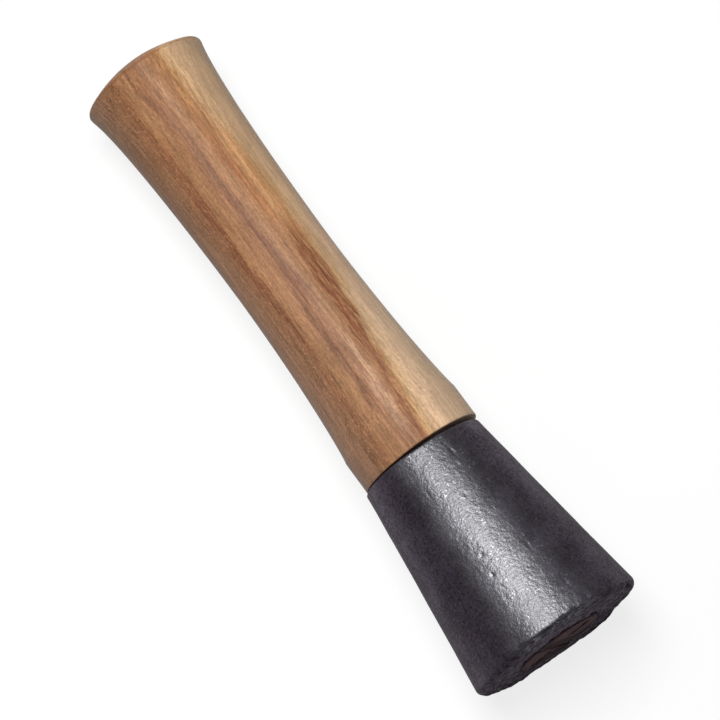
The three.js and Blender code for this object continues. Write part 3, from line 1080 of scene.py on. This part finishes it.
def slot_section(length, head_thickness, tip_thickness):
    """Half thickness and height of a wedge's slot, from past the tenon's end to its tip."""
    taper = (head_thickness - tip_thickness) / length
    start = (head_thickness + taper * CUT_OVERRUN) / 2 + FIT_CLEARANCE
    tip = (tip_thickness - taper * FIT_CLEARANCE) / 2 + FIT_CLEARANCE
    return [(start, WEDGE_START - CUT_OVERRUN), (tip, WEDGE_START + length + FIT_CLEARANCE)]


def tenon_cutters():
    """The saw cut with the wooden wedge's slot, and a slot for each steel wedge."""
    wood = slot_section(*WOOD_WEDGE)
    saw_end = WEDGE_START + WEDGE_LENGTH + SAW_CUT_PAST_WEDGE
    wood.append((SAW_CUT_WIDTH / 2, wood[-1][1]))
    wood.append((SAW_CUT_WIDTH / 2, saw_end))
    steel = slot_section(*STEEL_WEDGE)
    steel_half = STEEL_WEDGE_WIDTH / 2 + FIT_CLEARANCE
    yield slot_points(wood, EYE_FACE_DIAMETER, WEDGE_TURN, 0)
    for side in (1, -1):
        yield slot_points(steel, steel_half, CROSS_TURN, side * STEEL_WEDGE_OFF_CENTRE)


def cut(piece, cutters, material):
    """Cuts each cutter's shape out of a piece."""
    for points, faces in cutters:
        cutter = make_object("cutter", lean(points), faces, material)
        cutter.matrix_world = piece.matrix_world
        tool = piece.modifiers.new("cut", "BOOLEAN")
        tool.operation = "DIFFERENCE"
        tool.solver = "MANIFOLD"
        tool.object = cutter
        bpy.context.view_layer.update()
        evaluated = piece.evaluated_get(bpy.context.evaluated_depsgraph_get())
        mesh = bpy.data.meshes.new_from_object(evaluated)
        piece.modifiers.remove(tool)
        old = piece.data
        piece.data = mesh
        bpy.data.meshes.remove(old)
        bpy.data.objects.remove(cutter)
    split_wide_faces(mesh)
    mesh.name = piece.name


def split_wide_faces(mesh):
    """Splits faces of more than four corners, which a cut leaves, into triangles."""
    shape = bmesh.new()
    shape.from_mesh(mesh)
    bmesh.ops.triangulate(shape, faces=[face for face in shape.faces if len(face.verts) > 4])
    shape.to_mesh(mesh)
    shape.free()


# The end grain's look covers the tenon's end to this height, and cut walls this far inside it
END_GRAIN_REACH = 2.5
CUT_WALL_INSET = 1


def finish_tenon_end(piece, material):
    """Gives the tenon's end and the walls of its cuts a material of their own."""
    piece.data.materials.append(material)
    index = len(piece.data.materials) - 1
    for face in piece.data.polygons:
        x, y, z = face.center / MM
        inside = math.hypot(x, y) < tenon_radius(-z) - CUT_WALL_INSET
        in_cut = inside and -z < SHOULDER - CUT_WALL_INSET
        if -z < END_GRAIN_REACH or in_cut:
            face.material_index = index


# The wedges

# A wedge's rings near its struck end, in mm, and how many more there are to its tip; then how
# far its struck end is driven in, and the hammer's marks on it as depth and size in mm.
STRUCK_RINGS = (0, 0.1, 0.25, 0.5)
WEDGE_RINGS = 24
STRUCK_IN = 0.1
HAMMER_BLOWS = (0.12, 1.3)
HAMMER_GRAIN = (0.05, 0.5)


def wedge_mesh(length, head_thickness, tip_thickness, seed, half_width=None):
    """A tapered slip from its struck end to its tip: x runs across its thickness, y along its
    width. With no half width given, its narrow ends follow the tenon's round side."""
    depths = np.concatenate([STRUCK_RINGS, np.linspace(1, length, WEDGE_RINGS)])
    share = np.linspace(-1, 1, 25)
    ends = np.linspace(-1, 1, 9)[1:-1]
    rings = []
    for height in WEDGE_START + depths:
        depth = height - WEDGE_START
        thickness = np.interp(depth, [0, length], [head_thickness, tip_thickness]) / 2
        width, bulge = half_width, 0
        if half_width is None:
            width = math.sqrt(tenon_radius(height) ** 2 - thickness**2)
            bulge = tenon_radius(height) - width
        half = [(thickness, w * width) for w in share]
        half += [(-t * thickness, width + bulge * (1 - t * t)) for t in ends]
        ring = half + [(-x, -y) for x, y in half]
        rings.append(np.array([(x, y, -height) for x, y in ring]))
    size = len(rings[0])
    struck_end = [rings[0] * (f, f, 1) for f in (0.15, 0.4, 0.65, 0.85, 0.96)]
    tip = [rings[-1] * (f, f, 1) for f in (0.7, 0.35)]
    points = np.concatenate(struck_end + rings + tip)
    faces = ring_faces(len(points) // size, size, closed=False)
    faces.append(tuple(range(size)))
    faces.append(tuple(range(len(points) - size, len(points)))[::-1])
    struck = smooth_step(WEDGE_START + 0.4, WEDGE_START, -points[:, 2])
    hammer = make_noise(seed)
    marks = waves(hammer, points, *HAMMER_BLOWS) + waves(hammer, points, *HAMMER_GRAIN)
    points[:, 2] -= struck * (STRUCK_IN + marks)
    return points, faces


def turned_about(points, angle, off_centre=0.0):
    """Slips are drawn with their width along y; this turns it to the angle from x."""
    thick, wide = points[:, 0].copy(), points[:, 1] + off_centre
    points[:, 0] = wide * math.cos(angle) + thick * math.sin(angle)
    points[:, 1] = wide * math.sin(angle) - thick * math.cos(angle)
    return points


def wood_wedge_mesh():
    """The wooden wedge, as wide as the tenon."""
    points, faces = wedge_mesh(*WOOD_WEDGE, seed=31)
    return lean(turned_about(points, WEDGE_TURN)), faces


def steel_wedge_mesh(side):
    """A flat-ended steel wedge, on the side 1 or -1 of the wooden one."""
    points, faces = wedge_mesh(*STEEL_WEDGE, seed=33 + side, half_width=STEEL_WEDGE_WIDTH / 2)
    return lean(turned_about(points, CROSS_TURN, side * STEEL_WEDGE_OFF_CENTRE)), faces


# The stage

def make_camera():
    """A camera above the mallet and past its face, with the mallet aslant in its picture."""
    side, up, axis, centre = (MALLET.col[i].to_3d() for i in range(4))
    out = up * math.cos(CAMERA_SIDEWAYS) + side * math.sin(CAMERA_SIDEWAYS)
    tilt = math.atan((AIM_ALONG + CAMERA_PAST_FACE) / CAMERA_OFF_AXIS)
    back = out * math.cos(tilt) + axis * math.sin(tilt)
    along = (axis - back * axis.dot(back)).normalized()
    across = back.cross(along)
    cos, sin = math.cos(AXIS_IN_PICTURE), math.sin(AXIS_IN_PICTURE)
    right = along * cos + across * sin
    top = across * cos - along * sin
    data = bpy.data.cameras.new("camera")
    data.sensor_width = SENSOR
    data.lens = LENS
    data.clip_end = CAMERA_REACH
    camera = linked("camera", data)
    matrix = Matrix((right, top, back)).transposed().to_4x4()
    stand = axis * CAMERA_PAST_FACE + out * CAMERA_OFF_AXIS
    matrix.translation = centre + stand + across * AIM_ACROSS
    camera.matrix_world = matrix
    bpy.context.scene.camera = camera


def make_floor():
    """A round floor whose far rim curves up into a low backdrop."""
    turns = np.linspace(0, math.pi / 2, 12)
    bend = [(math.sin(turn), 1 - math.cos(turn)) for turn in turns]
    bend = [(FLOOR_RADIUS + x * FLOOR_BEND_RADIUS, z * FLOOR_BEND_RADIUS) for x, z in bend]
    rim = (FLOOR_RADIUS + FLOOR_BEND_RADIUS, FLOOR_BEND_RADIUS + FLOOR_WALL)
    outline = np.array([(0.2, 0), (1.0, 0), (4.0, 0), *bend, rim])
    points = turned_points(outline * (1, -1) / MM, FLOOR_SIDES)[0]
    faces = ring_faces(len(outline), FLOOR_SIDES, closed=False)
    faces.append(tuple(range(FLOOR_SIDES)))
    floor = make_object("floor", points, faces, pale_floor())


def make_key_light():
    """A soft box. Its radiance is how bright its face is, where 1 is white."""
    data = bpy.data.lights.new("key", "AREA")
    data.shape = "RECTANGLE"
    data.size, data.size_y = KEY_SIZE
    data.color = KEY_TINT
    data.energy = KEY_RADIANCE * math.pi * KEY_SIZE[0] * KEY_SIZE[1]
    light = linked("key", data)
    light.location = KEY_PLACE
    aim = Vector(KEY_TARGET) - Vector(KEY_PLACE)
    light.rotation_euler = aim.to_track_quat("-Z", "X").to_euler()


def make_world():
    """An even, dim light from all round."""
    world = bpy.data.worlds.new("studio")
    world.use_nodes = True
    world.node_tree.nodes["Background"].inputs["Color"].default_value = WORLD_COLOUR
    bpy.context.scene.world = world


make_camera()
make_floor()
make_world()
make_key_light()

head = make_object("iron_head", *head_mesh(), painted_iron(), smooth_angle=60)
lay(head, "head")

wood = turned_wood()
handle = make_object("turned_handle", *handle_mesh(), wood)
cut(handle, tenon_cutters(), wood)
finish_tenon_end(handle, end_grain())
lay(handle, "handle")

wedge = make_object("wooden_wedge", *wood_wedge_mesh(), wedge_wood())
lay(wedge, "wood_wedge")

steel = hammered_steel()
for number, side in ((1, 1), (2, -1)):
    slip = make_object(f"cross_wedge_{number}", *steel_wedge_mesh(side), steel)
    lay(slip, f"steel_wedge_{number}")

bpy.context.scene.view_settings.view_transform = "Standard"
